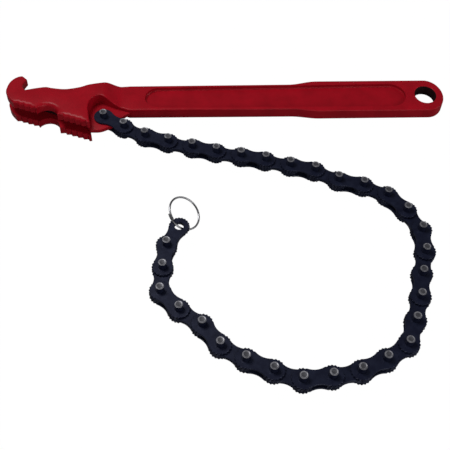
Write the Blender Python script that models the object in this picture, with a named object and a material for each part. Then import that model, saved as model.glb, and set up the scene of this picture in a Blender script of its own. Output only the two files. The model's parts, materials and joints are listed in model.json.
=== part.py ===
"""Chain pipe wrench, lying flat: a forged handle with a forked, toothed head, a leaf-type
plate chain pinned in the head, and a small ring on the chain's last link.

Plan drawing: x runs along the handle from the head to the hanging hole, y runs across it, and
the drawing's zero is beside the anchor pin that holds the chain in the head. Sizes are
millimetres.
"""
import math

import bmesh
import bpy
from mathutils import Matrix, Vector

MM = 0.001
GAP = 0.3                      # between neighbouring pieces

# Head: two jaw plates with a slot between them for the chain
HEAD_THICK = 18.5
JAW_PLATE = 5.3
MID = HEAD_THICK / 2           # level of the wrench's middle plane
ANCHOR = (0.5, -0.2)           # centre of the pin that holds the chain
JAW_ANGLE = -20.8              # direction of the row of teeth, degrees
JAW_START = (-57.3, 7.9)       # first tooth, beside the hook
TOOTH_SPACING = 4.07
TOOTH_DEPTH = 1.05
TOOTH_VALLEY = 0.65            # where the valley lies between two tips
HOOK_TOOTH_COUNT = 5
CHAIN_TOOTH_COUNT = 6
NOTCH_RADIUS = 7.6             # round notch between the two rows of teeth
NOTCH_BELOW = 1.9              # the notch's centre below the line of the tips
NOTCH_LAND = 0.7               # flat between the first row's last tip and the notch
ROW_LAND = 0.5                 # flat between the notch and the second row's first tip
POCKET_LIP = (1.6, 0.35)       # from the last tooth to where the pocket's wall begins
HEAD_LEFT = -63.6              # outermost point of the hook
HOOK_THROAT = (-51.9, 18.6)
HOOK_TIP = (-54.8, 31.5)
CORE_FRONT = -47.5             # where the slot ends at the head's back
RAMP_START = 0.0               # where the head's faces begin to fall towards the bar
RAMP_END = 12.0

# Points that the head's curves run through
BACK_CURVE = [(2, 25.3), (-9.3, 23.4), (-15.7, 20.9), (-25, 18.7), (-38.5, 20.8), (-48.3, 18.9)]
NOSE_CURVE = [(-51.2, 21.2), (-50.1, 24.2), (-52.2, 28)]
HORN_CURVE = [(-60.3, 28), (HEAD_LEFT, 18.5), (-61.8, 12.6)]
POCKET_CURVE = [(-8.9, -2.5), (-9.3, 5), (-6.6, 11.3), (-1.9, 13.1), (4.6, 9.4), (11, 6.6)]
CORE_EDGE = [(CORE_FRONT, 14.2), (-13, 0.4), (-9.3, 1.5)]
WEB_START = [(-10, -10.6), (-1.2, -10.2)]
WEB_END = [(12.3, 0.2), (18, 5)]
WEB_ROOT = [(18, 20), (-14, 20), (-14, -2)]        # inside the head, where the web joins it
WEB_ROUND = (-62, -25)         # the part round the anchor that the second link swings past, degrees
WEB_CLEAR = 1.2                # room between that part and the second link

# Bar
BAR_THICK = 7.8
BAR_CENTRE_Y = 15.1
BAR_START = 17.0               # where the pocket's wall meets the bar's front edge
NECK_HALF = 10.9               # half width beside the head
NECK_GROWTH = 0.4              # how much wider each side of the neck is at the flare
GRIP_HALF = 13.4               # half width of the wider grip
FLARE_START = 124.0
FLARE_END = 143.0
HANDLE_END = 227.7
END_ROUND = 12.6               # half width across the round end
END_SWEEP = 75                 # the round end's arc to each side, degrees
SHOULDER = 14.6                # from the handle's end to where the grip begins to narrow
HOLE_FROM_END = 11.8
HANG_HOLE = (HANDLE_END - HOLE_FROM_END, BAR_CENTRE_Y)
HANG_RADIUS = 7.5

# Long recess in both faces of the bar
RECESS_START = 27.2
RECESS_FROM_END = 27.7
RECESS_END = HANDLE_END - RECESS_FROM_END
RECESS_HALF_NECK = 8.8
RECESS_HALF_GRIP = 9.9
RECESS_DEPTH = 2.5
RECESS_BEVEL = 0.9

# Chain
LINK_LENGTH = 15.875           # from pin to pin
PLATE = 1.35                   # thickness of one plate
LOBE = 5.8                     # radius of the round ends
WAIST = 3.75                   # half width in the middle
PIN_RADIUS = 2.54
PIN_LENGTH = 14.2
PIN_CHAMFER = 0.5
PIN_SIDES = 12
LOBE_STEPS = 8
FLANK_STEPS = 4
RUNNING = 0.3                  # clearance of a turning pin in its hole
LINK_DIRECTIONS = (            # degrees from the handle's axis, from the anchor on
    [-33, -30]
    + [-20, -17, -16, -13, -14, -17, -16, -31, -17, -30]        # beside the handle
    + [-52, -66, -93, -107, -104, -110, -114, -147]             # round the far bend
    + [-156, -170, -175, -201, -206, -213, -234, -218, -229]    # back towards the head
    + [-275, -278, -298]                                        # last links
)

# Ring on the last link
RING_RADIUS = 10.4             # to the middle of the wire
WIRE_RADIUS = 0.5
RING_TILT = 42                 # its plane against the chain's plane, degrees
RING_LEAN = 69                 # direction from the hole to the ring's centre, degrees
RING_OVERLAP = 22              # how far the wire's two ends pass each other, degrees
RING_ENDS = 135                # where they pass, degrees round the ring; the hole is at 180
RING_STEP = 1.4                # the wire's rise in one turn, which keeps its ends apart

CUTTER_REACH = 50              # cutters run this far past what they cut
INNER_STACK = 2 * PLATE + GAP
WEB_THICK = INNER_STACK        # the first link straddles the web as it would an inner link
OUTER_LEVEL = INNER_STACK / 2 + GAP
PIN_HOLE = (PIN_RADIUS + RUNNING) / math.cos(math.pi / PIN_SIDES)


def polar(radius, degrees):
    angle = math.radians(degrees)
    return Vector((radius * math.cos(angle), radius * math.sin(angle)))


def arc(centre, radius, start, end, steps):
    """Points on an arc from start to end, in degrees."""
    centre = Vector(centre)
    return [centre + polar(radius, start + (end - start) * k / steps) for k in range(steps + 1)]


def eased(first, last, share):
    """A value on its way from first to last, level at both ends."""
    return first + (last - first) * (3 * share ** 2 - 2 * share ** 3)


def chain_points():
    """The pins' centres from the anchor pin on, and the last link's empty hole."""
    points = [Vector(ANCHOR)]
    for direction in LINK_DIRECTIONS:
        points.append(points[-1] + polar(LINK_LENGTH, direction))
    return points


PINS = chain_points()
BACK_EDGE = max(HOOK_TIP[1], BAR_CENTRE_Y + GRIP_HALF)
FRONT_EDGE = min(point.y for point in PINS) - LOBE
CENTRE = Vector(((HEAD_LEFT + HANDLE_END) / 2, (BACK_EDGE + FRONT_EDGE) / 2))


def clear_scene():
    for old in list(bpy.data.objects):
        bpy.data.objects.remove(old, do_unlink=True)


def new_collection(name):
    collection = bpy.data.collections.new(name)
    bpy.context.scene.collection.children.link(collection)
    return collection


def material(name, colour, roughness, metallic):
    made = bpy.data.materials.new(name)
    made.use_nodes = True
    shader = made.node_tree.nodes["Principled BSDF"]
    shader.inputs["Base Color"].default_value = (*colour, 1)
    shader.inputs["Roughness"].default_value = roughness
    shader.inputs["Metallic"].default_value = metallic
    return made


clear_scene()
PARTS = new_collection("chain_pipe_wrench")
CUTTERS = new_collection("cutters")
RED_ENAMEL = material("red_enamel", (0.26, 0.008, 0.012), 0.32, 0.0)
BLACK_STEEL = material("black_oxide_steel", (0.012, 0.012, 0.018), 0.38, 0.6)
BRIGHT_WIRE = material("bright_wire", (0.6, 0.6, 0.6), 0.15, 1.0)

frame = bpy.data.objects.new("wrench_frame", None)
frame.location = (-CENTRE.x * MM, -CENTRE.y * MM, MID * MM)
PARTS.objects.link(frame)


def add_object(name, mesh, finish, collection=PARTS, place=(0, 0), turn=0):
    """A piece at a plan place, turned by degrees, with its zero on the middle plane."""
    piece = bpy.data.objects.new(name, mesh)
    collection.objects.link(piece)
    piece.parent = frame
    piece.location = (place[0] * MM, place[1] * MM, 0)
    piece.rotation_euler.z = math.radians(turn)
    if finish and not mesh.materials:
        mesh.materials.append(finish)
    return piece


def flat_mesh(name, outlines, low, high, draft=0.0):
    """A plate between two levels. The first outline is its edge and the others are holes.
    A draft chamfers the edge inwards by that much at both faces."""
    curve = bpy.data.curves.new(name, "CURVE")
    curve.dimensions = "2D"
    curve.fill_mode = "BOTH"
    curve.extrude = ((high - low) / 2 - draft) * MM
    curve.bevel_depth = draft * MM
    curve.offset = -draft * MM
    curve.bevel_resolution = 0
    for outline in outlines:
        spline = curve.splines.new("POLY")
        spline.points.add(len(outline) - 1)
        for point, place in zip(spline.points, outline):
            point.co = (place[0] * MM, place[1] * MM, 0, 1)
        spline.use_cyclic_u = True
    holder = bpy.data.objects.new(name, curve)
    bpy.context.scene.collection.objects.link(holder)
    evaluated = holder.evaluated_get(bpy.context.evaluated_depsgraph_get())
    mesh = bpy.data.meshes.new_from_object(evaluated)
    bpy.data.objects.remove(holder)
    bpy.data.curves.remove(curve)
    work = bmesh.new()
    work.from_mesh(mesh)
    bmesh.ops.remove_doubles(work, verts=work.verts, dist=0.001 * MM)
    bmesh.ops.translate(work, verts=work.verts, vec=(0, 0, (low + high) / 2 * MM))
    bmesh.ops.recalc_face_normals(work, faces=work.faces)
    work.to_mesh(mesh)
    work.free()
    return mesh


def smooth_line(points, steps=4):
    """A smooth open curve through the points, without its last point."""
    points = [Vector(point) for point in points]
    padded = [2 * points[0] - points[1]] + points + [2 * points[-1] - points[-2]]
    line = []
    for a, b, c, d in zip(padded, padded[1:], padded[2:], padded[3:]):
        for k in range(steps):
            t = k / steps
            line.append(0.5 * (2 * b + (c - a) * t + (2 * a - 5 * b + 4 * c - d) * t ** 2
                               + (3 * b - a - 3 * c + d) * t ** 3))
    return line


def cut(piece, cutter, operation="DIFFERENCE"):
    """Cuts or joins at once, so that the piece keeps a plain mesh."""
    step = piece.modifiers.new(cutter.name, "BOOLEAN")
    step.object = cutter
    step.operation = operation
    step.solver = "EXACT"
    evaluated = piece.evaluated_get(bpy.context.evaluated_depsgraph_get())
    mesh = bpy.data.meshes.new_from_object(evaluated)
    piece.modifiers.clear()
    piece.data = mesh
    cutter.hide_render = True
    cutter.display_type = "WIRE"


def tool(name, outlines, low, high, draft=0.0):
    return add_object(name, flat_mesh(name, outlines, low, high, draft), None, CUTTERS)


# Handle

def jaw_teeth():
    """The biting edge, from the hook's side to the chain's: teeth, round notch, teeth."""
    along = polar(1, JAW_ANGLE)
    inward = polar(1, JAW_ANGLE + 90)
    start = Vector(JAW_START)

    def row(first, count):
        edge = []
        for k in range(count):
            tip = first + k * TOOTH_SPACING
            edge.append(start + along * tip)
            if k < count - 1:
                valley = tip + TOOTH_VALLEY * TOOTH_SPACING
                edge.append(start + along * valley + inward * TOOTH_DEPTH)
        return edge

    half_notch = math.sqrt(NOTCH_RADIUS ** 2 - NOTCH_BELOW ** 2)
    middle = (HOOK_TOOTH_COUNT - 1) * TOOTH_SPACING + NOTCH_LAND + half_notch
    rise = math.degrees(math.asin(NOTCH_BELOW / NOTCH_RADIUS))
    centre = start + along * middle - inward * NOTCH_BELOW
    notch = arc(centre, NOTCH_RADIUS, 180 - rise + JAW_ANGLE, rise + JAW_ANGLE, 8)
    return row(0, HOOK_TOOTH_COUNT) + notch + row(middle + half_notch + ROW_LAND, CHAIN_TOOTH_COUNT)


def back_of_head():
    """The head's back, from the bar to the throat of the hook."""
    return smooth_line([(BAR_START, BAR_CENTRE_Y + NECK_HALF)] + BACK_CURVE + [HOOK_THROAT], 2)[1:]


def hook():
    """The horn, from the throat over its nose and round to the first tooth."""
    nose = smooth_line([HOOK_THROAT] + NOSE_CURVE + [HOOK_TIP], 2)
    outer = smooth_line([HOOK_TIP] + HORN_CURVE + [JAW_START], 3)
    return nose + outer


def pocket_wall():
    """The wall of the recess round the anchor pin, from the last tooth to the bar."""
    lip = jaw_teeth()[-1] + Vector(POCKET_LIP)
    return smooth_line([lip] + POCKET_CURVE + [(BAR_START, BAR_CENTRE_Y - NECK_HALF)], 2)


def bar_side():
    """The line across the bar's root, where the head joins it."""
    return [(BAR_START, BAR_CENTRE_Y - NECK_HALF), (BAR_START, BAR_CENTRE_Y + NECK_HALF)]


def jaw_plate_outline():
    return jaw_teeth() + pocket_wall() + bar_side() + back_of_head() + hook()


def core_outline():
    """What joins the two jaw plates behind the slot."""
    behind_anchor = CORE_EDGE[-1][1]
    wall = [point for point in pocket_wall() if point.y > behind_anchor and point.x < RAMP_END]
    back = [point for point in back_of_head() if point.x > CORE_FRONT]
    return CORE_EDGE + wall + bar_side() + back


def web_outline():
    """The thin web that carries the anchor pin, between the first link's plates."""
    radius = LINK_LENGTH - LOBE - WEB_CLEAR
    swept = [Vector(ANCHOR) + polar(radius, direction) for direction in WEB_ROUND]
    return smooth_line(WEB_START + swept + WEB_END, 3) + [WEB_END[-1]] + WEB_ROOT


def bar_outline():
    """Straight neck, flare to the wider grip, round end."""
    neck_end = NECK_HALF + NECK_GROWTH
    half = [(BAR_START - 1, NECK_HALF)]
    half += [(FLARE_START + (FLARE_END - FLARE_START) * k / 4, eased(neck_end, GRIP_HALF, k / 4)) for k in range(5)]
    half.append((HANDLE_END - SHOULDER, GRIP_HALF))
    nose = arc((HANDLE_END - END_ROUND, 0), END_ROUND, END_SWEEP, -END_SWEEP, 10)
    other = [(x, -y) for x, y in reversed(half)]
    return [(x, BAR_CENTRE_Y + y) for x, y in half + nose + other]


def recess_outline():
    """A long panel with round ends, a little wider towards the grip."""
    left = arc((RECESS_START + RECESS_HALF_NECK, BAR_CENTRE_Y), RECESS_HALF_NECK, 270, 90, 8)
    right = arc((RECESS_END - RECESS_HALF_GRIP, BAR_CENTRE_Y), RECESS_HALF_GRIP, 90, -90, 8)
    return left + right


def round_outline(centre, radius, sides):
    return arc(centre, radius, 360 / sides / 2, 360 + 360 / sides / 2, sides)[:-1]


def ramp_outline():
    """Side view of what is cut away where the head's face falls to the bar's."""
    top = HEAD_THICK / 2
    low = BAR_THICK / 2
    slope = [(RAMP_START + (RAMP_END - RAMP_START) * k / 4, eased(top, low, k / 4)) for k in range(5)]
    far = RAMP_END + CUTTER_REACH
    return slope + [(far, low), (far, top + CUTTER_REACH), (RAMP_START, top + CUTTER_REACH)]


def make_handle():
    half = HEAD_THICK / 2
    handle = add_object("handle", flat_mesh("handle", [bar_outline()], -BAR_THICK / 2, BAR_THICK / 2), RED_ENAMEL)
    core = tool("head_core", [core_outline()], -half, half)
    web = tool("anchor_web", [web_outline()], -WEB_THICK / 2, WEB_THICK / 2)
    upper = tool("upper_jaw", [jaw_plate_outline()], half - JAW_PLATE, half)
    lower = tool("lower_jaw", [jaw_plate_outline()], -half, -half + JAW_PLATE)
    cut(core, upper, "UNION")
    cut(core, lower, "UNION")
    for side in (1, -1):
        ramp = tool(f"ramp_{side}", [ramp_outline()], -CUTTER_REACH, CUTTER_REACH)
        ramp.rotation_euler.x = math.radians(90 * side)
        cut(core, ramp)
    cut(handle, core, "UNION")
    cut(handle, web, "UNION")
    for side in (1, -1):
        level = side * BAR_THICK / 2
        recess = tool(f"recess_{side}", [recess_outline()], level - RECESS_DEPTH, level + RECESS_DEPTH,
                      RECESS_BEVEL)
        cut(handle, recess)
    cut(handle, tool("hanging_hole", [round_outline(HANG_HOLE, HANG_RADIUS, 24)], -half, half))
    cut(handle, tool("anchor_hole", [round_outline(ANCHOR, PIN_HOLE, PIN_SIDES)], -half, half))
    return handle


# Chain

def link_outline(points_per_lobe):
    """A waisted plate, its first pin at zero and its second one pitch along: two round ends
    joined by hollow flanks."""
    half = LINK_LENGTH / 2
    flank = (WAIST ** 2 + half ** 2 - LOBE ** 2) / (2 * (LOBE - WAIST))
    meet = math.degrees(math.atan2(WAIST + flank, half))
    sweep = 90 - meet
    right = arc((LINK_LENGTH, 0), LOBE, meet - 180, 180 - meet, points_per_lobe)
    upper = arc((half, WAIST + flank), flank, 270 + sweep, 270 - sweep, FLANK_STEPS)[1:-1]
    left = arc((0, 0), LOBE, meet, 360 - meet, points_per_lobe)
    lower = arc((half, -WAIST - flank), flank, 90 + sweep, 90 - sweep, FLANK_STEPS)[1:-1]
    return right + upper + left + lower


def plate_mesh(name, low, high, hole_radius=None):
    """One link plate between two levels, with its two pin holes if a radius is given."""
    outlines = [link_outline(LOBE_STEPS)]
    if hole_radius:
        outlines += [round_outline((x, 0), hole_radius, PIN_SIDES) for x in (0, LINK_LENGTH)]
    return flat_mesh(name, outlines, low, high)


def pin_mesh():
    """A pin with chamfered ends."""
    work = bmesh.new()
    turned = Matrix.Rotation(math.pi / PIN_SIDES, 4, "Z")
    bmesh.ops.create_cone(work, cap_ends=True, segments=PIN_SIDES, radius1=PIN_RADIUS * MM,
                          radius2=PIN_RADIUS * MM, depth=PIN_LENGTH * MM, matrix=turned)
    rims = [edge for edge in work.edges if abs(edge.verts[0].co.z - edge.verts[1].co.z) < PIN_CHAMFER * MM]
    bmesh.ops.bevel(work, geom=rims, offset=PIN_CHAMFER * MM, segments=1, affect="EDGES")
    mesh = bpy.data.meshes.new("pin")
    work.to_mesh(mesh)
    work.free()
    return mesh


def pin_link_mesh():
    """The lower outer plate with the two pins pressed into it."""
    plate = add_object("pin_link", plate_mesh("pin_link", -OUTER_LEVEL - PLATE, -OUTER_LEVEL), None, CUTTERS)
    pin = pin_mesh()
    for x in (0, LINK_LENGTH):
        cut(plate, add_object(f"pin_at_{x:.0f}", pin, None, CUTTERS, place=(x, 0)), "UNION")
    mesh = plate.data
    bpy.data.objects.remove(plate)
    return mesh


def make_chain():
    """Outer links, a pin link and its cover plate, take turns with inner links."""
    pin_link = pin_link_mesh()
    cover = plate_mesh("cover_plate", OUTER_LEVEL, OUTER_LEVEL + PLATE, PIN_RADIUS + GAP)
    inner = plate_mesh("inner_link", -INNER_STACK / 2, INNER_STACK / 2, PIN_HOLE)
    for k, direction in enumerate(LINK_DIRECTIONS):
        number = f"{k + 1:02d}"
        if k % 2 == 0:
            add_object(f"pin_link_{number}", pin_link, BLACK_STEEL, place=PINS[k], turn=direction)
            add_object(f"cover_plate_{number}", cover, BLACK_STEEL, place=PINS[k], turn=direction)
        else:
            add_object(f"inner_link_{number}", inner, BLACK_STEEL, place=PINS[k], turn=direction)


# Ring

def make_ring():
    """A wire ring whose ends pass each other, threaded through the last link's hole."""
    curve = bpy.data.curves.new("ring", "CURVE")
    curve.dimensions = "3D"
    curve.bevel_depth = WIRE_RADIUS * MM
    curve.bevel_resolution = 2
    curve.use_fill_caps = True
    steps = 40
    spline = curve.splines.new("POLY")
    spline.points.add(steps)
    first = RING_ENDS - RING_OVERLAP / 2
    for k, point in enumerate(spline.points):
        angle = first + (360 + RING_OVERLAP) * k / steps
        flat = polar(RING_RADIUS, angle)
        point.co = (flat.x * MM, flat.y * MM, RING_STEP * (angle - 180) / 360 * MM, 1)
    holder = bpy.data.objects.new("ring_wire", curve)
    bpy.context.scene.collection.objects.link(holder)
    mesh = bpy.data.meshes.new_from_object(holder.evaluated_get(bpy.context.evaluated_depsgraph_get()))
    bpy.data.objects.remove(holder)
    bpy.data.curves.remove(curve)
    work = bmesh.new()
    work.from_mesh(mesh)
    bmesh.ops.remove_doubles(work, verts=work.verts, dist=0.001 * MM)
    bmesh.ops.translate(work, verts=work.verts, vec=(RING_RADIUS * MM, 0, 0))
    bmesh.ops.recalc_face_normals(work, faces=work.faces)
    work.to_mesh(mesh)
    work.free()
    ring = add_object("ring", mesh, BRIGHT_WIRE, place=PINS[-1], turn=RING_LEAN)
    ring.rotation_euler = (Matrix.Rotation(math.radians(RING_LEAN), 3, "Z")
                           @ Matrix.Rotation(math.radians(RING_TILT), 3, "X")).to_euler()
    return ring


make_handle()
make_chain()
make_ring()

for piece in PARTS.objects:
    if piece.type == "MESH":
        piece.data.shade_smooth()
        piece.data.set_sharp_from_angle(angle=math.radians(35))
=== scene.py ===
"""Chain pipe wrench: enamelled forging, toothed black chain, bright wire ring, on a white table.

Plan sizes are millimetres from a zero beside the anchor pin that holds the chain in the head,
x along the handle, y across it, levels counted from the wrench's middle plane.
"""
import json
import math

import bmesh
import bpy
from mathutils import Matrix, Vector


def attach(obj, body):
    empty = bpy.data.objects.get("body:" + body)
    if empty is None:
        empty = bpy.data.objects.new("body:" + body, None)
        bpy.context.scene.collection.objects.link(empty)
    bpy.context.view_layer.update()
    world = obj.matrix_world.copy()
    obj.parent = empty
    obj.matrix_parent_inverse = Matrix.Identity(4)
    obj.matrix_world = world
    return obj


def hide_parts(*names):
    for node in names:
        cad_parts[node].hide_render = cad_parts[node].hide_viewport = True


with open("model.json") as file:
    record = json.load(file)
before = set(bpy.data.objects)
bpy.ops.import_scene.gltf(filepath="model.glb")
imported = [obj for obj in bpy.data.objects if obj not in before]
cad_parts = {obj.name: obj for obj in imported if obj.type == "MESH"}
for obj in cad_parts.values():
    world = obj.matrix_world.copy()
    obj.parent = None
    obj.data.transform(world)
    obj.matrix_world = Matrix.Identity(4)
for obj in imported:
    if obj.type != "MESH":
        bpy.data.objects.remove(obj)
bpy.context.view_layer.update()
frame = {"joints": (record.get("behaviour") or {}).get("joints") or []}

MM = 0.001

# Head
HEAD_HALF = 9.25               # half the head's thickness
JAW_PLATE = 5.6                # each of the two toothed plates
ANCHOR = (0.5, -0.2)           # centre of the pin that holds the chain
JAW_ANGLE = -20.8              # direction of the row of teeth, degrees
JAW_START = (-57.8, 7.3)       # first tooth, beside the hook
TOOTH_SPACING = 4.07
TOOTH_DEPTH = 1.1
TOOTH_VALLEY = 0.65            # where the valley lies between two tips
TOOTH_FADE = 0.85              # share of the depth left where the grooves run out on the face
HOOK_TOOTH_COUNT = 5
CHAIN_TOOTH_COUNT = 6
NOTCH_RADIUS = 7.6
NOTCH_BELOW = 1.9              # the notch's centre below the line of the tips
NOTCH_LAND = 0.3               # flat between the first row's last tip and the notch
ROW_LAND = 0.5                 # flat between the notch and the second row's first tip
RAMP_START = 0.0               # where the head's faces begin to fall to the bar's
RAMP_END = 12.0
RAMP_CUTS = 16                 # edges laid across the ramp, so that it bends softly
WEB_HALF = 1.4                 # the thin web that holds the anchor pin
WEB_CLEAR = 0.7                # room between the web and the second link
WEB_SWEEP = (-62, -25)         # directions from the anchor pin where the second link passes close
WEB_EDGE = 0.3
JAW_ROUND = 2.7                # rounding of the forging's upper edges along the teeth
CORNER_ROUND = 0.15            # at the notch's corners and the last tooth's
CORNER_GROWTH = 0.6            # by how much it grows with each millimetre from them
EDGE = 0.9                     # and elsewhere
UNDER_ROUND = 0.6              # and underneath
ROUND_STEPS = 5
ROUND_SMOOTHINGS = 6           # passes that even the rounding out from one part of the rim to the next

# Points that the head's curves run through
BACK_CURVE = [(0.8, 25.3), (-9.6, 23.4), (-15.9, 20.9), (-25, 19.2), (-33.7, 20.3), (-38, 21.3),
              (-44.5, 20.3), (-48.3, 19.4)]
HOOK_THROAT = (-51.5, 18.7)
HOOK_UNDERCUT = (-53.3, 22.7)
HOOK_NOSE = (-51.0, 28.5)
HOOK_CORNER = (-53.3, 30.9)
HORN_CURVE = [(-54.4, 31.8), (-57.3, 31), (-60.4, 28.4), (-62.6, 24.3), (-63.6, 18), (-61.9, 12.8)]
POCKET_LIP = (1.6, 0.35)
POCKET_CURVE = [(-8.9, -2.5), (-9.3, 5), (-6.6, 11.3), (-1.9, 13.1), (4.6, 9.4), (11, 6.6)]

# Corners of the slot between the jaw plates, whose outer ones lie clear of the forging
SLOT_OUTLINE = [(-70, 40), (-70, -20), (-4, -20), (-4, 1.7), (-8.6, 1.7), (-13, 0.4), (-47.5, 14.2),
                (-47.5, 40)]

# The web's edge before and after the second link's sweep, and the rest, which runs into the forging
WEB_BEFORE = [(-7.4, -11), (-1.2, -10.8)]
WEB_AFTER = [(12.3, 0.2), (18, 5)]
WEB_ROOT = [(18, 20), (-14, 20), (-14, -2), (-11, -6)]

# Bar
BAR_HALF = 3.9
BAR_CENTRE_Y = 15.1
BAR_START = 17.0
NECK_HALF = 10.9               # from the bar's middle line to its front edge
NECK_BACK = 11.6               # and to its back edge
NECK_GROWTH = 0.4              # how much wider each side of the neck is at the flare
GRIP_HALF = 13.4
GRIP_BACK = 14.9
FLARE_START = 124.0
FLARE_END = 143.0
HANDLE_END = 228.2
END_DEPTH = 11.5               # length of the round end, which is flatter than a half circle
HANG_HOLE = (216.1, 16.0)
HANG_HALF = (7.2, 7.9)         # the hole is a little wider across than along
HANG_EDGE = 0.4
RECESS_START = 27.2
RECESS_END = 202.5
RECESS_HALF_NECK = 9.1
RECESS_HALF_GRIP = 10.6
RECESS_CENTRES = (15.4, 15.8)  # across the bar, at the neck and at the grip
RECESS_DEPTH = 2.5
RECESS_DRAFT = 0.6

# Chain
LINK_LENGTH = 15.875           # from pin to pin
PLATE = 1.25
PLATE_GAP = 0.3
LOBE = 6.3                     # to the teeth's tips
WAIST = 4.3
TEETH_ROUND_PLATE = 36         # if its whole edge were toothed
PLATE_TOOTH = 0.55
TOOTHED_FROM = 4.6             # from the plate's middle; the waist is smooth
PIN_RADIUS = 2.3
PIN_LENGTH = 15.2
PIN_CHAMFER = 0.4
PIN_RIM = 0.4                  # ring round the dished middle of a pin's end, given the lighter steel as a painted highlight
PIN_DISH = 0.12
HOLE_RADIUS = 2.84             # of the inner plates
PLATE_EDGE = 0.18

# Ring
RING_RADIUS = 10.4
WIRE_RADIUS = 0.58
RING_TILT = 33
RING_LEAN = 74
RING_OVERLAP = 22
RING_ENDS = 135
RING_RISE = 1.4                # of the wire in one turn
RING_STEPS = 96

# Camera, as fitted to the chain's pins in the photograph
VIEW_AZIMUTH = -4.579
VIEW_ELEVATION = 53.345
VIEW_ROLL = 2.701
VIEW_TARGET = (-5.87, -5.56, 9.0)
VIEW_DISTANCE = 485.1
FOCAL_PIXELS = 814.1
FRAME_PIXELS = 450
SENSOR = 36

# Patches of the finishes' patterns
SPRAY_PATCH = 11.11
ORANGE_PEEL = 1.111
FORGED_DENT = 7.143
OXIDE_PATCH = 3.846
STEEL_GRAIN = 0.5556           # coarser than the real grain, which is too fine to show
RUBBED_PATCH = 2.0
PAINTED_SHADE_PATCH = 2.5
DRAWN_MARK = 0.8333            # coarser than the real marks, which are too fine to show

HINGES = [Vector(joint["pos_m"]) for joint in frame["joints"]]
PLAN_ZERO = HINGES[0] - Vector((*ANCHOR, 0)) * MM


# Materials

def colour(code):
    """An sRGB hex code as linear red, green, blue and alpha."""
    parts = [int(code[k:k + 2], 16) / 255 for k in (1, 3, 5)]
    return (*[p / 12.92 if p <= 0.04045 else ((p + 0.055) / 1.055) ** 2.4 for p in parts], 1)


def node(tree, kind, settings=None, values=None, links=None):
    """Adds a node with its properties, its input values and the outputs that feed it."""
    made = tree.nodes.new(kind)
    for name, value in (settings or {}).items():
        setattr(made, name, value)
    for socket, value in (values or {}).items():
        made.inputs[socket].default_value = value
    for socket, source in (links or {}).items():
        tree.links.new(source, made.inputs[socket])
    return made


def scale_for(size):
    """The scale of a noise whose patches are this many millimetres wide."""
    return 1 / (size * MM)


def new_material(name):
    """An empty node material and its Principled shader."""
    made = bpy.data.materials.new(name)
    made.use_nodes = True
    tree = made.node_tree
    tree.nodes.clear()
    shader = node(tree, "ShaderNodeBsdfPrincipled")
    node(tree, "ShaderNodeOutputMaterial", links={"Surface": shader.outputs[0]})
    return made, tree, shader


def red_enamel():
    """Sprayed enamel over a forging: semi-gloss, with a slight orange peel and the forging's
    soft unevenness under it."""
    made, tree, shader = new_material("red_enamel")
    place = node(tree, "ShaderNodeTexCoord").outputs["Object"]
    cloud = node(tree, "ShaderNodeTexNoise", links={"Vector": place},
                 values={"Scale": scale_for(SPRAY_PATCH), "Detail": 3, "Roughness": 0.55})
    tone = node(tree, "ShaderNodeValToRGB", links={"Fac": cloud.outputs["Fac"]})
    tone.color_ramp.elements[0].position = 0.3
    tone.color_ramp.elements[0].color = colour("#8c0a18")
    tone.color_ramp.elements[1].position = 0.7
    tone.color_ramp.elements[1].color = colour("#9c0c1c")
    peel = node(tree, "ShaderNodeTexNoise", links={"Vector": place},
                values={"Scale": scale_for(ORANGE_PEEL), "Detail": 2, "Roughness": 0.5})
    forged = node(tree, "ShaderNodeTexNoise", links={"Vector": place},
                  values={"Scale": scale_for(FORGED_DENT), "Detail": 4, "Roughness": 0.6})
    soft = node(tree, "ShaderNodeBump", values={"Strength": 0.25, "Distance": 0.0006},
                links={"Height": forged.outputs["Fac"]})
    bump = node(tree, "ShaderNodeBump", values={"Strength": 0.12, "Distance": 0.0001},
                links={"Height": peel.outputs["Fac"], "Normal": soft.outputs[0]})
    tree.links.new(tone.outputs[0], shader.inputs["Base Color"])
    tree.links.new(bump.outputs[0], shader.inputs["Normal"])
    shader.inputs["Roughness"].default_value = 0.34
    shader.inputs["Specular IOR Level"].default_value = 0.12
    return made


def black_oxide():
    """Hot-blackened steel plate, oiled: blue-black, with a little of the metal's own gloss."""
    made, tree, shader = new_material("black_oxide_steel")
    place = node(tree, "ShaderNodeTexCoord").outputs["Object"]
    cloud = node(tree, "ShaderNodeTexNoise", links={"Vector": place},
                 values={"Scale": scale_for(OXIDE_PATCH), "Detail": 4, "Roughness": 0.6})
    tone = node(tree, "ShaderNodeValToRGB", links={"Fac": cloud.outputs["Fac"]})
    tone.color_ramp.elements[0].position = 0.35
    tone.color_ramp.elements[0].color = colour("#14172a")
    tone.color_ramp.elements[1].position = 0.7
    tone.color_ramp.elements[1].color = colour("#1f2336")
    grain = node(tree, "ShaderNodeTexNoise", links={"Vector": place},
                 values={"Scale": scale_for(STEEL_GRAIN), "Detail": 2, "Roughness": 0.6})
    bump = node(tree, "ShaderNodeBump", values={"Strength": 0.2, "Distance": 0.0001},
                links={"Height": grain.outputs["Fac"]})
    tree.links.new(tone.outputs[0], shader.inputs["Base Color"])
    tree.links.new(bump.outputs[0], shader.inputs["Normal"])
    shader.inputs["Metallic"].default_value = 0.3
    shader.inputs["Roughness"].default_value = 0.36
    shader.inputs["Specular IOR Level"].default_value = 0.2
    return made


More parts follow.
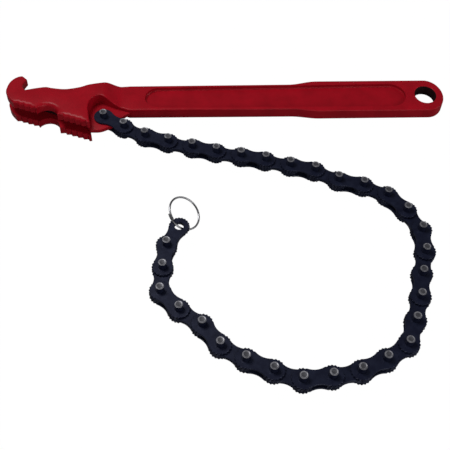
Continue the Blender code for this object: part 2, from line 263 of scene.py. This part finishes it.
def pin_end_steel(name, dark, light, roughness):
    """Mottled grey steel for the pin ends: the lighter copy on rims and chamfers is a painted highlight, the
    darker one the ends' own dull middle.
    """
    made, tree, shader = new_material(name)
    place = node(tree, "ShaderNodeTexCoord").outputs["Object"]
    cloud = node(tree, "ShaderNodeTexNoise", links={"Vector": place},
                 values={"Scale": scale_for(RUBBED_PATCH), "Detail": 4, "Roughness": 0.65})
    tone = node(tree, "ShaderNodeValToRGB", links={"Fac": cloud.outputs["Fac"]})
    tone.color_ramp.elements[0].position = 0.35
    tone.color_ramp.elements[0].color = colour(dark)
    tone.color_ramp.elements[1].position = 0.65
    tone.color_ramp.elements[1].color = colour(light)
    tree.links.new(tone.outputs[0], shader.inputs["Base Color"])
    shader.inputs["Metallic"].default_value = 0.35
    shader.inputs["Roughness"].default_value = roughness
    return made


def painted_shade_sheet():
    """Painted shade: an almost black, rough sheet with a breath of red, laid on the upright walls
    in the slot and the hanging hole, where they lie in shade."""
    made, tree, shader = new_material("painted_shade_sheet")
    place = node(tree, "ShaderNodeTexCoord").outputs["Object"]
    cloud = node(tree, "ShaderNodeTexNoise", links={"Vector": place},
                 values={"Scale": scale_for(PAINTED_SHADE_PATCH), "Detail": 4, "Roughness": 0.6})
    tone = node(tree, "ShaderNodeValToRGB", links={"Fac": cloud.outputs["Fac"]})
    tone.color_ramp.elements[0].position = 0.35
    tone.color_ramp.elements[0].color = colour("#1a0d0f")
    tone.color_ramp.elements[1].position = 0.7
    tone.color_ramp.elements[1].color = colour("#2c1416")
    bump = node(tree, "ShaderNodeBump", values={"Strength": 0.4, "Distance": 0.0002},
                links={"Height": cloud.outputs["Fac"]})
    tree.links.new(tone.outputs[0], shader.inputs["Base Color"])
    tree.links.new(bump.outputs[0], shader.inputs["Normal"])
    shader.inputs["Roughness"].default_value = 0.7
    shader.inputs["Specular IOR Level"].default_value = 0.1
    return made


def bright_wire():
    """Nickel-plated spring wire: bright and smooth, with the drawing's fine haze."""
    made, tree, shader = new_material("bright_wire")
    place = node(tree, "ShaderNodeTexCoord").outputs["Object"]
    drawn = node(tree, "ShaderNodeTexNoise", links={"Vector": place},
                 values={"Scale": scale_for(DRAWN_MARK), "Detail": 2})
    bump = node(tree, "ShaderNodeBump", values={"Strength": 0.1, "Distance": 0.00005},
                links={"Height": drawn.outputs["Fac"]})
    tree.links.new(bump.outputs[0], shader.inputs["Normal"])
    shader.inputs["Base Color"].default_value = colour("#9a9a9e")
    shader.inputs["Metallic"].default_value = 1
    shader.inputs["Roughness"].default_value = 0.3
    return made


RED = red_enamel()
BLACK = black_oxide()
# The lighter copy paints the highlight on the pins' chamfers and rims; the darker one is the ends' middle
RIM_HIGHLIGHT_STEEL = pin_end_steel("pin_end_steel", "#64646a", "#909096", 0.4)
DULL = pin_end_steel("dull_steel", "#34343a", "#4a4a50", 0.5)
# A dark sheet of painted shade for the slot's back wall and the hanging hole's wall
SCALE = painted_shade_sheet()
WIRE = bright_wire()


# Shapes

def polar(radius, degrees):
    angle = math.radians(degrees)
    return Vector((radius * math.cos(angle), radius * math.sin(angle)))


def arc(centre, radius, start, end, steps):
    centre = Vector(centre)
    return [centre + polar(radius, start + (end - start) * k / steps) for k in range(steps + 1)]


def oval(halves, degrees):
    """A point on an oval round zero."""
    way = polar(1, degrees)
    return Vector((halves[0] * way.x, halves[1] * way.y))


def smooth_line(points, steps=6):
    """A smooth open curve through the points, without its last point."""
    points = [Vector(point) for point in points]
    padded = [2 * points[0] - points[1]] + points + [2 * points[-1] - points[-2]]
    line = []
    for a, b, c, d in zip(padded, padded[1:], padded[2:], padded[3:]):
        for k in range(steps):
            t = k / steps
            line.append(0.5 * (2 * b + (c - a) * t + (2 * a - 5 * b + 4 * c - d) * t ** 2
                               + (3 * b - a - 3 * c + d) * t ** 3))
    return line


def evaluated_mesh(holder):
    """The plain mesh that an object comes to with its modifiers, and the object gone."""
    bpy.context.scene.collection.objects.link(holder)
    depsgraph = bpy.context.evaluated_depsgraph_get()
    mesh = bpy.data.meshes.new_from_object(holder.evaluated_get(depsgraph))
    bpy.data.objects.remove(holder)
    return mesh


def flat_mesh(name, outlines, low, high, edge=0.0, rounds=0):
    """A plate between two levels with rounded or chamfered rims; outlines after the first are
    holes."""
    curve = bpy.data.curves.new(name, "CURVE")
    curve.dimensions = "2D"
    curve.fill_mode = "BOTH"
    curve.extrude = ((high - low) / 2 - edge) * MM
    curve.bevel_depth = edge * MM
    curve.bevel_resolution = rounds
    curve.offset = -edge * MM
    for outline in outlines:
        spline = curve.splines.new("POLY")
        spline.points.add(len(outline) - 1)
        for point, spot in zip(spline.points, outline):
            point.co = (spot[0] * MM, spot[1] * MM, 0, 1)
        spline.use_cyclic_u = True
    mesh = evaluated_mesh(bpy.data.objects.new(name, curve))
    bpy.data.curves.remove(curve)
    work = bmesh.new()
    work.from_mesh(mesh)
    bmesh.ops.remove_doubles(work, verts=work.verts, dist=0.002 * MM)
    bmesh.ops.translate(work, verts=work.verts, vec=(0, 0, (low + high) / 2 * MM))
    bmesh.ops.recalc_face_normals(work, faces=work.faces)
    work.to_mesh(mesh)
    work.free()
    return mesh


def combine(mesh, other, operation):
    """One mesh joined with another or cut by it."""
    base = bpy.data.objects.new("base", mesh)
    tool = bpy.data.objects.new("tool", other)
    bpy.context.scene.collection.objects.link(tool)
    step = base.modifiers.new("combine", "BOOLEAN")
    step.object = tool
    step.operation = operation
    step.solver = "EXACT"
    made = evaluated_mesh(base)
    bpy.data.objects.remove(tool)
    return made


def finish_piece(name, mesh, body, stands_for, sharp=30):
    """Smooth shading with the real corners kept, and the piece on its body."""
    mesh.name = name
    mesh.shade_smooth()
    mesh.set_sharp_from_angle(angle=math.radians(sharp))
    piece = bpy.data.objects.new(name, mesh)
    bpy.context.scene.collection.objects.link(piece)
    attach(piece, body)
    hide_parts(*stands_for)
    return piece


# Handle

def eased(first, last, share):
    """A value on its way from first to last, level at both ends."""
    share = min(max(share, 0), 1)
    return first + (last - first) * (3 * share ** 2 - 2 * share ** 3)


def jaw_teeth(depth):
    """The biting edge, from the hook's side to the chain's: teeth, round notch, teeth."""
    along = polar(1, JAW_ANGLE)
    inward = polar(1, JAW_ANGLE + 90)
    start = Vector(JAW_START)

    def row(first, count):
        edge = []
        for k in range(count):
            tip = first + k * TOOTH_SPACING
            edge.append(start + along * tip)
            if k < count - 1:
                edge.append(start + along * (tip + TOOTH_VALLEY * TOOTH_SPACING) + inward * depth)
        return edge

    half_notch = math.sqrt(NOTCH_RADIUS ** 2 - NOTCH_BELOW ** 2)
    middle = (HOOK_TOOTH_COUNT - 1) * TOOTH_SPACING + NOTCH_LAND + half_notch
    rise = math.degrees(math.asin(NOTCH_BELOW / NOTCH_RADIUS))
    centre = start + along * middle - inward * NOTCH_BELOW
    notch = arc(centre, NOTCH_RADIUS, 180 - rise + JAW_ANGLE, rise + JAW_ANGLE, 20)
    return row(0, HOOK_TOOTH_COUNT) + notch + row(middle + half_notch + ROW_LAND, CHAIN_TOOTH_COUNT)


def back_of_head():
    return smooth_line([(BAR_START, BAR_CENTRE_Y + NECK_BACK)] + BACK_CURVE + [HOOK_THROAT])[1:]


def hook():
    """The horn: an undercut nose with a blunt end, and a round back."""
    nose = smooth_line([HOOK_THROAT, HOOK_UNDERCUT, HOOK_NOSE])
    return nose + [Vector(HOOK_NOSE), Vector(HOOK_CORNER)] + smooth_line(HORN_CURVE + [JAW_START])


def pocket_wall(lip):
    return smooth_line([lip + Vector(POCKET_LIP)] + POCKET_CURVE + [(BAR_START, BAR_CENTRE_Y - NECK_HALF)])


def bar_edge(neck, grip):
    """Points on one edge of the bar: how far along, and how far from its middle line."""
    flare = [(FLARE_START + (FLARE_END - FLARE_START) * k / 12, eased(neck + NECK_GROWTH, grip, k / 12))
             for k in range(13)]
    return [(BAR_START, neck)] + flare


def handle_outline(depth):
    """The whole silhouette, from the first tooth round by the grip to the hook, and how far
    the rim is rounded over at each of its points."""
    teeth = jaw_teeth(depth)
    front = [Vector((x, BAR_CENTRE_Y - y)) for x, y in bar_edge(NECK_HALF, GRIP_HALF)]
    back = [Vector((x, BAR_CENTRE_Y + y)) for x, y in reversed(bar_edge(NECK_BACK, GRIP_BACK))]
    centre = Vector((HANDLE_END - END_DEPTH, BAR_CENTRE_Y + (GRIP_BACK - GRIP_HALF) / 2))
    end = [centre + oval((END_DEPTH, (GRIP_BACK + GRIP_HALF) / 2), -90 + 6 * k) for k in range(31)]
    rest = pocket_wall(teeth[-1]) + front + end + back + back_of_head() + hook()
    rounds = [JAW_ROUND] * len(teeth) + [EDGE] * len(rest)
    count = len(rounds)
    for _ in range(ROUND_SMOOTHINGS):
        rounds = [(rounds[k - 1] + rounds[k] + rounds[(k + 1) % count]) / 3 for k in range(count)]
    outline = teeth + rest
    corners = [teeth[2 * HOOK_TOOTH_COUNT - 1], teeth[-2 * CHAIN_TOOTH_COUNT], teeth[-1], rest[0]]
    for k, spot in enumerate(outline):
        nearest = min((spot - corner).length for corner in corners)
        rounds[k] = min(rounds[k], CORNER_ROUND + CORNER_GROWTH * nearest)
    return outline, rounds


def rounded_slab(loops):
    """A slab of the head's thickness with rounded rims. A loop gives its points at the wall,
    where each has got to at the end of the rounding, and the roundings' radii. The material is
    on the loop's left."""
    work = bmesh.new()
    rims = ([], [])
    for wall, faded, radii in loops:
        count = len(wall)
        inward = []
        for k in range(count):
            before = (wall[k] - wall[k - 1]).normalized()
            after = (wall[(k + 1) % count] - wall[k]).normalized()
            across = (before + after).normalized().orthogonal()
            inward.append(across / max(across.dot(after.orthogonal()), 0.5))
        rings = []
        for side in (-1, 1):
            for step in range(ROUND_STEPS + 1):
                share = step if side > 0 else ROUND_STEPS - step
                angle = math.pi / 2 * share / ROUND_STEPS
                inset = 1 - math.cos(angle)
                drop = 1 - math.sin(angle)
                ring = []
                for start, end, way, radius in zip(wall, faded, inward, radii):
                    if side < 0:
                        end = start
                        radius = min(radius, UNDER_ROUND)
                    spot = start.lerp(end, inset) + way * radius * inset
                    level = side * (HEAD_HALF - radius * drop)
                    ring.append(work.verts.new((spot.x * MM, spot.y * MM, level * MM)))
                rings.append(ring)
        for low, high in zip(rings, rings[1:]):
            for k in range(count):
                work.faces.new((low[k - 1], low[k], high[k], high[k - 1]))
        for rim, ring in zip(rims, (rings[0], rings[-1])):
            rim += [work.edges.get((ring[k - 1], ring[k])) for k in range(count)]
    for rim in rims:
        bmesh.ops.triangle_fill(work, use_beauty=True, edges=rim)
    bmesh.ops.recalc_face_normals(work, faces=work.faces)
    return work


def recess_outline():
    """A long panel with round ends, wider and a little further back at the grip."""
    at_neck, at_grip = RECESS_CENTRES
    left = arc((RECESS_START + RECESS_HALF_NECK, at_neck), RECESS_HALF_NECK, 270, 90, 24)
    right = arc((RECESS_END - RECESS_HALF_GRIP, at_grip), RECESS_HALF_GRIP, 90, -90, 24)
    return left + right


def half_thickness(x):
    """Half the forging's thickness: full at the head, falling in a soft ramp to the bar."""
    return eased(HEAD_HALF, BAR_HALF, (x - RAMP_START) / (RAMP_END - RAMP_START))


def web_outline():
    """The web round the anchor pin, clear of the second link's swing."""
    swept = arc(ANCHOR, LINK_LENGTH - LOBE - WEB_CLEAR, *WEB_SWEEP, 4)
    return smooth_line(WEB_BEFORE + swept + WEB_AFTER) + WEB_ROOT


def make_handle():
    wall, rounds = handle_outline(TOOTH_DEPTH)
    faded = handle_outline(TOOTH_DEPTH * TOOTH_FADE)[0]
    hole = [Vector(HANG_HOLE) + oval(HANG_HALF, -7.5 * k) for k in range(48)]
    work = rounded_slab([(wall, faded, rounds), (hole, hole, [HANG_EDGE] * len(hole))])
    for k in range(RAMP_CUTS):
        x = RAMP_START - 1 + (RAMP_END - RAMP_START + 2) * k / (RAMP_CUTS - 1)
        bmesh.ops.bisect_plane(work, geom=work.verts[:] + work.edges[:] + work.faces[:], dist=0.0005 * MM,
                               plane_co=(x * MM, 0, 0), plane_no=(1, 0, 0))
    for vert in work.verts:
        side = 1 if vert.co.z > 0 else -1
        vert.co.z -= side * (HEAD_HALF - half_thickness(vert.co.x / MM)) * MM
    mesh = bpy.data.meshes.new("forging")
    work.to_mesh(mesh)
    work.free()
    slot_half = HEAD_HALF - JAW_PLATE
    mesh = combine(mesh, flat_mesh("slot", [SLOT_OUTLINE], -slot_half, slot_half), "DIFFERENCE")
    mesh = combine(mesh, flat_mesh("web", [web_outline()], -WEB_HALF, WEB_HALF, WEB_EDGE, 2), "UNION")
    pin_hole = arc(ANCHOR, HOLE_RADIUS, 0, 360, 32)[:-1]
    mesh = combine(mesh, flat_mesh("pin_hole", [pin_hole], -HEAD_HALF, HEAD_HALF), "DIFFERENCE")
    for side in (1, -1):
        level = side * BAR_HALF
        recess = flat_mesh("recess", [recess_outline()], level - RECESS_DEPTH, level + RECESS_DEPTH,
                           RECESS_DRAFT, 0)
        mesh = combine(mesh, recess, "DIFFERENCE")
    mesh.materials.clear()
    mesh.materials.append(RED)
    mesh.materials.append(SCALE)
    # Upright walls in the hanging hole and at the slot's back take the dark sheet as painted shade
    for face in mesh.polygons:
        spot = face.center / MM
        upright = abs(face.normal.z) < 0.5
        in_hole = (spot.xy - Vector(HANG_HOLE)).length < max(HANG_HALF) + 0.1
        faces_teeth = face.normal.xy.dot(polar(1, JAW_ANGLE - 90)) > 0.9
        in_slot = abs(spot.z) < slot_half and faces_teeth and spot.x < -8
        face.material_index = int(upright and (in_hole or in_slot))
    mesh.transform(Matrix.Translation(PLAN_ZERO))
    return finish_piece("forged_handle", mesh, "handle", ["handle"])


# Chain

def plate_outline():
    """A waisted plate, its first pin at zero and its second one pitch along."""
    half = LINK_LENGTH / 2
    flank = (WAIST ** 2 + half ** 2 - LOBE ** 2) / (2 * (LOBE - WAIST))
    meet = math.degrees(math.atan2(WAIST + flank, half))
    sweep = 90 - meet
    right = arc((LINK_LENGTH, 0), LOBE, meet - 180, 180 - meet, 24)
    upper = arc((half, WAIST + flank), flank, 270 + sweep, 270 - sweep, 8)[1:-1]
    left = arc((0, 0), LOBE, meet, 360 - meet, 24)
    lower = arc((half, -WAIST - flank), flank, 90 + sweep, 90 - sweep, 8)[1:-1]
    return right + upper + left + lower


def link_tree():
    """A chain link as a node tree: the outline gets teeth round its two ends, becomes a plate
    with two holes, and is laid at two levels; pins stand in the holes."""
    tree = bpy.data.node_groups.new("toothed_link", "GeometryNodeTree")
    tree.interface.new_socket("Outline", in_out="INPUT", socket_type="NodeSocketGeometry")
    for name, start in (("Teeth", TEETH_ROUND_PLATE), ("Pins", 2)):
        socket = tree.interface.new_socket(name, in_out="INPUT", socket_type="NodeSocketInt")
        socket.default_value = start
    for name in ("Tooth Height", "Toothed From", "Smooth Before", "Pitch", "Hole Radius", "Plate",
                 "Lowest", "Spacing", "Pin Radius", "Pin Length"):
        tree.interface.new_socket(name, in_out="INPUT", socket_type="NodeSocketFloat")
    tree.interface.new_socket("Material", in_out="INPUT", socket_type="NodeSocketMaterial")
    tree.interface.new_socket("Link", in_out="OUTPUT", socket_type="NodeSocketGeometry")
    given = node(tree, "NodeGroupInput").outputs

    def math_node(kind, first, second):
        made = node(tree, "ShaderNodeMath", {"operation": kind})
        for socket, value in ((0, first), (1, second)):
            if isinstance(value, (int, float)):
                made.inputs[socket].default_value = value
            else:
                tree.links.new(value, made.inputs[socket])
        return made.outputs[0]

    def vector(x=None, y=None, z=None):
        made = node(tree, "ShaderNodeCombineXYZ")
        for name, value in (("X", x), ("Y", y), ("Z", z)):
            if value is not None:
                tree.links.new(value, made.inputs[name])
        return made.outputs[0]

    even = node(tree, "GeometryNodeResampleCurve", {"mode": "COUNT"},
                links={"Curve": given["Outline"], "Count": math_node("MULTIPLY", given["Teeth"], 2)})
    spot = node(tree, "ShaderNodeSeparateXYZ", links={0: node(tree, "GeometryNodeInputPosition").outputs[0]})
    from_middle = math_node("ABSOLUTE", math_node("SUBTRACT", spot.outputs[0],
                                                  math_node("MULTIPLY", given["Pitch"], 0.5)), 0)
    toothed = math_node("MULTIPLY", math_node("GREATER_THAN", from_middle, given["Toothed From"]),
                        math_node("GREATER_THAN", spot.outputs[0], given["Smooth Before"]))
    turn = math_node("MODULO", node(tree, "GeometryNodeInputIndex").outputs[0], 2)
    inset = math_node("MULTIPLY", math_node("MULTIPLY", turn, toothed), given["Tooth Height"])
    outward = node(tree, "ShaderNodeVectorMath", {"operation": "CROSS_PRODUCT"},
                   values={1: (0, 0, -1)}, links={0: node(tree, "GeometryNodeInputTangent").outputs[0]})
    push = node(tree, "ShaderNodeVectorMath", {"operation": "SCALE"},
                links={0: outward.outputs[0], "Scale": inset})
    edge = node(tree, "GeometryNodeSetPosition", links={0: even.outputs[0], "Offset": push.outputs[0]})
    hole = node(tree, "GeometryNodeCurvePrimitiveCircle", values={"Resolution": 24},
                links={"Radius": given["Hole Radius"]})
    far_hole = node(tree, "GeometryNodeTransform",
                    links={0: hole.outputs[0], "Translation": vector(x=given["Pitch"])})
    outlines = node(tree, "GeometryNodeJoinGeometry")
    for source in (edge, hole, far_hole):
        tree.links.new(source.outputs[0], outlines.inputs[0])
    face = node(tree, "GeometryNodeFillCurve", {"mode": "NGONS"}, links={0: outlines.outputs[0]})
    raised = node(tree, "GeometryNodeExtrudeMesh", {"mode": "FACES"},
                  values={"Individual": False}, links={0: face.outputs[0], "Offset Scale": given["Plate"]})
    under = node(tree, "GeometryNodeFlipFaces", links={0: face.outputs[0]})
    shell = node(tree, "GeometryNodeJoinGeometry")
    tree.links.new(raised.outputs[0], shell.inputs[0])
    tree.links.new(under.outputs[0], shell.inputs[0])
    plate = node(tree, "GeometryNodeMergeByDistance", values={"Distance": 0.000001},
                 links={0: shell.outputs[0]})
    levels = node(tree, "GeometryNodeMeshLine", {"mode": "OFFSET"}, values={"Count": 2},
                  links={"Start Location": vector(z=given["Lowest"]), "Offset": vector(z=given["Spacing"])})
    plates = node(tree, "GeometryNodeInstanceOnPoints",
                  links={"Points": levels.outputs[0], "Instance": plate.outputs[0]})
    pin = node(tree, "GeometryNodeMeshCylinder", values={"Vertices": 28},
               links={"Radius": given["Pin Radius"], "Depth": given["Pin Length"]})
    seats = node(tree, "GeometryNodeMeshLine", {"mode": "OFFSET"},
                 links={"Count": given["Pins"], "Offset": vector(x=given["Pitch"])})
    pins = node(tree, "GeometryNodeInstanceOnPoints",
                links={"Points": seats.outputs[0], "Instance": pin.outputs["Mesh"]})
    link = node(tree, "GeometryNodeJoinGeometry")
    tree.links.new(plates.outputs[0], link.inputs[0])
    tree.links.new(pins.outputs[0], link.inputs[0])
    real = node(tree, "GeometryNodeRealizeInstances", links={0: link.outputs[0]})
    coated = node(tree, "GeometryNodeSetMaterial", links={0: real.outputs[0], "Material": given["Material"]})
    node(tree, "NodeGroupOutput", links={0: coated.outputs[0]})
    return tree


LINK_TREE = link_tree()


def link_mesh(name, sizes):
    """One link from the tree, with its plates' rims broken and its pins' ends chamfered."""
    curve = bpy.data.curves.new(name, "CURVE")
    curve.dimensions = "3D"
    spline = curve.splines.new("POLY")
    outline = plate_outline()
    spline.points.add(len(outline) - 1)
    for point, spot in zip(spline.points, outline):
        point.co = (spot.x * MM, spot.y * MM, 0, 1)
    spline.use_cyclic_u = True
    holder = bpy.data.objects.new(name, curve)
    step = holder.modifiers.new("link", "NODES")
    step.node_group = LINK_TREE
    inputs = [item for item in LINK_TREE.interface.items_tree if item.in_out == "INPUT"]
    sockets = {item.name: item.identifier for item in inputs}
    for socket, value in sizes.items():
        step[sockets[socket]] = value
    mesh = evaluated_mesh(holder)
    bpy.data.curves.remove(curve)
    mesh.materials.clear()
    mesh.materials.append(BLACK)
    mesh.materials.append(RIM_HIGHLIGHT_STEEL)
    mesh.materials.append(DULL)
    work = bmesh.new()
    work.from_mesh(mesh)
    end = PIN_LENGTH / 2 * MM

    def rims(at_end):
        found = []
        for edge in work.edges:
            flat = abs(edge.verts[0].co.z - edge.verts[1].co.z) < 0.01 * MM
            corner = edge.is_manifold and edge.calc_face_angle() > math.radians(60)
            if flat and corner and (abs(edge.verts[0].co.z) > end - 0.01 * MM) == at_end:
                found.append(edge)
        return found

    bmesh.ops.bevel(work, geom=rims(False), offset=PLATE_EDGE * MM, segments=1, affect="EDGES",
                    clamp_overlap=True)
    pin_rims = rims(True)
    if pin_rims:
        bmesh.ops.bevel(work, geom=pin_rims, offset=PIN_CHAMFER * MM, segments=2, affect="EDGES")
    ends = [face for face in work.faces if abs(face.calc_center_median().z) > end - 0.01 * MM]
    # The chamfers and the ring round each end's middle take the lighter steel as a painted highlight, the
    # dished middle the dull steel
    for face in work.faces:
        if abs(face.calc_center_median().z) > end - PIN_CHAMFER * 1.05 * MM:
            face.material_index = 1
    bmesh.ops.inset_individual(work, faces=ends, thickness=PIN_RIM * MM, depth=-PIN_DISH * MM)
    for face in ends:
        face.material_index = 2
    work.to_mesh(mesh)
    work.free()
    return mesh


def make_chain():
    shared = {"Tooth Height": PLATE_TOOTH * MM, "Toothed From": TOOTHED_FROM * MM, "Smooth Before": -1.0,
              "Pitch": LINK_LENGTH * MM, "Hole Radius": PIN_RADIUS * MM, "Plate": PLATE * MM,
              "Pin Radius": PIN_RADIUS * MM, "Pin Length": PIN_LENGTH * MM, "Material": BLACK}
    inner_top = PLATE_GAP / 2 + PLATE
    outer_low = inner_top + PLATE_GAP
    inner_sizes = shared | {"Pins": 0, "Hole Radius": HOLE_RADIUS * MM, "Lowest": -inner_top * MM,
                            "Spacing": (PLATE + PLATE_GAP) * MM}
    outer_sizes = shared | {"Pins": 2, "Lowest": -(outer_low + PLATE) * MM,
                            "Spacing": (2 * outer_low + PLATE) * MM}
    inner = link_mesh("inner", inner_sizes)
    outer = link_mesh("outer", outer_sizes)
    first = link_mesh("first", outer_sizes | {"Smooth Before": LINK_LENGTH / 2 * MM})
    for k, (start, end) in enumerate(zip(HINGES, HINGES[1:]), start=1):
        number = f"{k:02d}"
        along = end - start
        turn = Matrix.Rotation(math.atan2(along.y, along.x), 4, "Z")
        if k % 2 == 0:
            mesh = inner.copy()
            stands_for = [f"inner_link_{number}"]
        else:
            mesh = (first if k == 1 else outer).copy()
            stands_for = [f"pin_link_{number}", f"cover_plate_{number}"]
        mesh.transform(Matrix.Translation(start) @ turn)
        finish_piece(f"toothed_link_{number}", mesh, f"link_{number}", stands_for, 25)


# Ring

def make_ring():
    """A turn and a bit of round wire, its ends passing each other beside the last link."""
    curve = bpy.data.curves.new("ring", "CURVE")
    curve.dimensions = "3D"
    curve.bevel_depth = WIRE_RADIUS * MM
    curve.bevel_resolution = 4
    curve.use_fill_caps = True
    spline = curve.splines.new("POLY")
    spline.points.add(RING_STEPS)
    first = RING_ENDS - RING_OVERLAP / 2
    for k, point in enumerate(spline.points):
        angle = first + (360 + RING_OVERLAP) * k / RING_STEPS
        flat = polar(RING_RADIUS, angle)
        level = RING_RISE * (angle - 180) / 360
        point.co = ((flat.x + RING_RADIUS) * MM, flat.y * MM, level * MM, 1)
    mesh = evaluated_mesh(bpy.data.objects.new("ring_wire", curve))
    bpy.data.curves.remove(curve)
    work = bmesh.new()
    work.from_mesh(mesh)
    bmesh.ops.remove_doubles(work, verts=work.verts, dist=0.001 * MM)
    bmesh.ops.recalc_face_normals(work, faces=work.faces)
    work.to_mesh(mesh)
    work.free()
    lean = Matrix.Rotation(math.radians(RING_LEAN), 4, "Z")
    tilt = Matrix.Rotation(math.radians(RING_TILT), 4, "X")
    mesh.transform(Matrix.Translation(HINGES[-1]) @ (lean @ tilt))
    mesh.materials.append(WIRE)
    return finish_piece("wire_ring", mesh, "ring", ["ring"], 60)


make_handle()
make_chain()
make_ring()


# Table, light and camera

def white_table():
    """A white sheet that the camera sees as white, with a trace of the wrench's shadow."""
    made = bpy.data.materials.new("white_table")
    made.use_nodes = True
    tree = made.node_tree
    tree.nodes.clear()
    path = node(tree, "ShaderNodeLightPath")
    seen = node(tree, "ShaderNodeMath", {"operation": "MAXIMUM"},
                links={0: path.outputs["Is Camera Ray"], 1: path.outputs["Is Transmission Ray"]})
    share = node(tree, "ShaderNodeMath", {"operation": "MULTIPLY"}, {1: 0.97}, {0: seen.outputs[0]})
    paper = node(tree, "ShaderNodeBsdfDiffuse", values={"Color": colour("#7c7c7c")})
    bright = node(tree, "ShaderNodeEmission", values={"Color": (1, 1, 1, 1), "Strength": 1.03})
    both = node(tree, "ShaderNodeMixShader",
                links={0: share.outputs[0], 1: paper.outputs[0], 2: bright.outputs[0]})
    node(tree, "ShaderNodeOutputMaterial", links={"Surface": both.outputs[0]})
    return made


def make_stage():
    """The table just below the wrench, the studio's even light and three soft lamps."""
    table = bpy.data.meshes.new("table")
    reach = 3.0
    corners = [(-reach, -reach, 0), (reach, -reach, 0), (reach, reach, 0), (-reach, reach, 0)]
    table.from_pydata(corners, [], [(0, 1, 2, 3)])
    table.materials.append(white_table())
    floor = bpy.data.objects.new("table", table)
    floor.location.z = -0.0002
    bpy.context.scene.collection.objects.link(floor)

    world = bpy.data.worlds.new("studio")
    bpy.context.scene.world = world
    world.use_nodes = True
    tree = world.node_tree
    tree.nodes.clear()
    path = node(tree, "ShaderNodeLightPath")
    soft = node(tree, "ShaderNodeBackground", values={"Color": (1, 1, 1, 1), "Strength": 0.12})
    white = node(tree, "ShaderNodeBackground", values={"Color": (1, 1, 1, 1), "Strength": 1.0})
    both = node(tree, "ShaderNodeMixShader",
                links={0: path.outputs["Is Camera Ray"], 1: soft.outputs[0], 2: white.outputs[0]})
    node(tree, "ShaderNodeOutputWorld", links={"Surface": both.outputs[0]})

    def lamp(name, place, size, power):
        """A round lamp that points at zero. Place and size are metres, power is watts."""
        data = bpy.data.lights.new(name, "AREA")
        data.shape = "DISK"
        data.size = size
        data.energy = power
        made = bpy.data.objects.new(name, data)
        made.location = place
        made.rotation_euler = (-Vector(place)).to_track_quat("-Z", "Y").to_euler()
        bpy.context.scene.collection.objects.link(made)

    lamp("key", (-0.45, 0.3, 1.0), 0.45, 7.5)
    lamp("front_fill", (0.25, -0.85, 0.42), 0.7, 3.7)
    lamp("side_fill", (0.9, -0.05, 0.45), 0.6, 2.0)


def make_camera():
    """The photograph's view: almost square to the handle, well above it, with a slight roll."""
    azimuth = math.radians(VIEW_AZIMUTH)
    elevation = math.radians(VIEW_ELEVATION)
    roll = math.radians(VIEW_ROLL)
    target = Vector(VIEW_TARGET) * MM
    distance = VIEW_DISTANCE * MM
    forward = Vector((-math.sin(azimuth) * math.cos(elevation), math.cos(azimuth) * math.cos(elevation),
                      -math.sin(elevation)))
    right = Vector((math.cos(azimuth), math.sin(azimuth), 0))
    up = right.cross(forward)
    right, up = (right * math.cos(roll) + up * math.sin(roll),
                 up * math.cos(roll) - right * math.sin(roll))
    data = bpy.data.cameras.new("camera")
    data.sensor_width = SENSOR
    data.lens = FOCAL_PIXELS / FRAME_PIXELS * SENSOR
    data.clip_start = 0.01
    camera = bpy.data.objects.new("camera", data)
    turn = Matrix((right, up, -forward)).transposed().to_4x4()
    camera.matrix_world = Matrix.Translation(target - forward * distance) @ turn
    bpy.context.scene.collection.objects.link(camera)
    bpy.context.scene.camera = camera


make_stage()
make_camera()
bpy.context.scene.view_settings.view_transform = "Standard"
